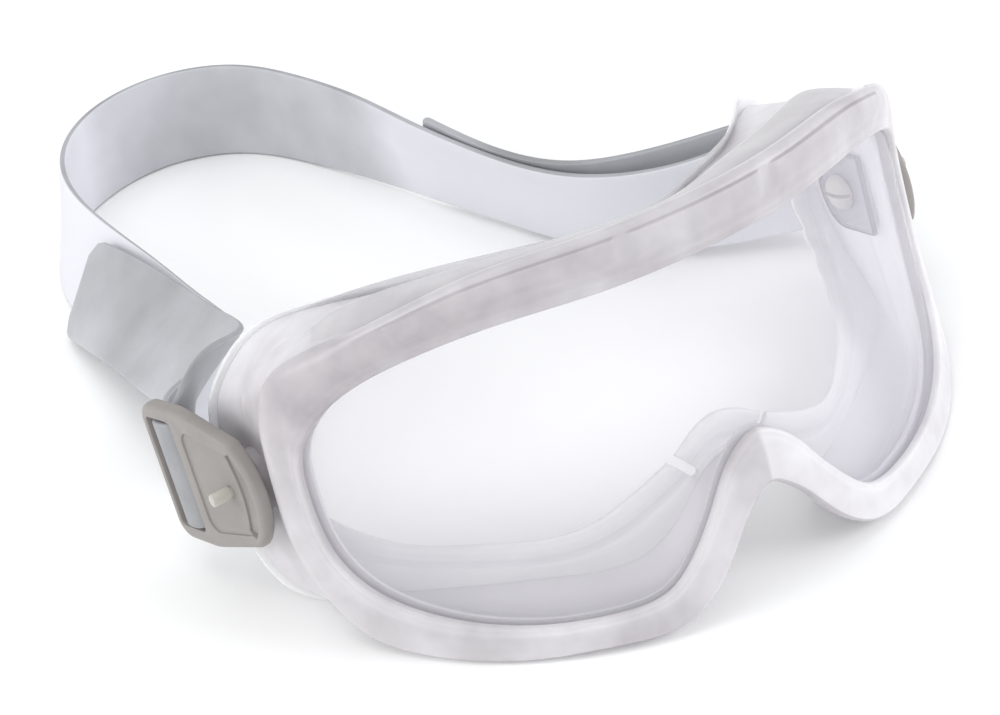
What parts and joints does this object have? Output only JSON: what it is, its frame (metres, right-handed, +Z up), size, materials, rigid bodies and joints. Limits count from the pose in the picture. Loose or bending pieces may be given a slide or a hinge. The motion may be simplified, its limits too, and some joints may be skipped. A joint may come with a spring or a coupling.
{
  "type": "safety goggles",
  "caption": "Indirect-vent safety goggles: soft wrapped frame with clear lens and face seal, and a flat head strap on two side clips that turn on pegs.",
  "frame": {"origin": "centre of the overall box, at the table the goggles lie on", "axes": "+X to the wearer's left, +Y from the lens back to the strap, +Z up from the table"},
  "size_m": [0.1804, 0.2506, 0.085],
  "materials": {
    "frame": "soft translucent vinyl, satin",
    "seal": "thin translucent vinyl, satin",
    "lens": "clear polycarbonate, polished",
    "hood": "soft translucent vinyl, satin",
    "strap": "smooth grey silicone, satin",
    "clip": "moulded warm grey, fine matt",
    "peg": "natural nylon",
    "plate": "clear sheet"
  },
  "bodies": {
    "goggle_frame": {"frame_shell": "frame", "face_seal": "seal", "lens": "lens", "vent_cover_top": "hood", "retainer_plate_left": "plate", "retainer_plate_right": "plate"},
    "strap_set": {"strap": "strap", "clip_left": "clip", "clip_right": "clip", "peg_left": "peg", "peg_right": "peg"}
  },
  "joints": [
    {"name": "strap_swing", "type": "hinge", "parent": "goggle_frame", "child": "strap_set", "pos_m": [0, -0.0549, 0.02934], "axis": [1, 0, 0], "range_deg": [0, 75]}
  ]
}
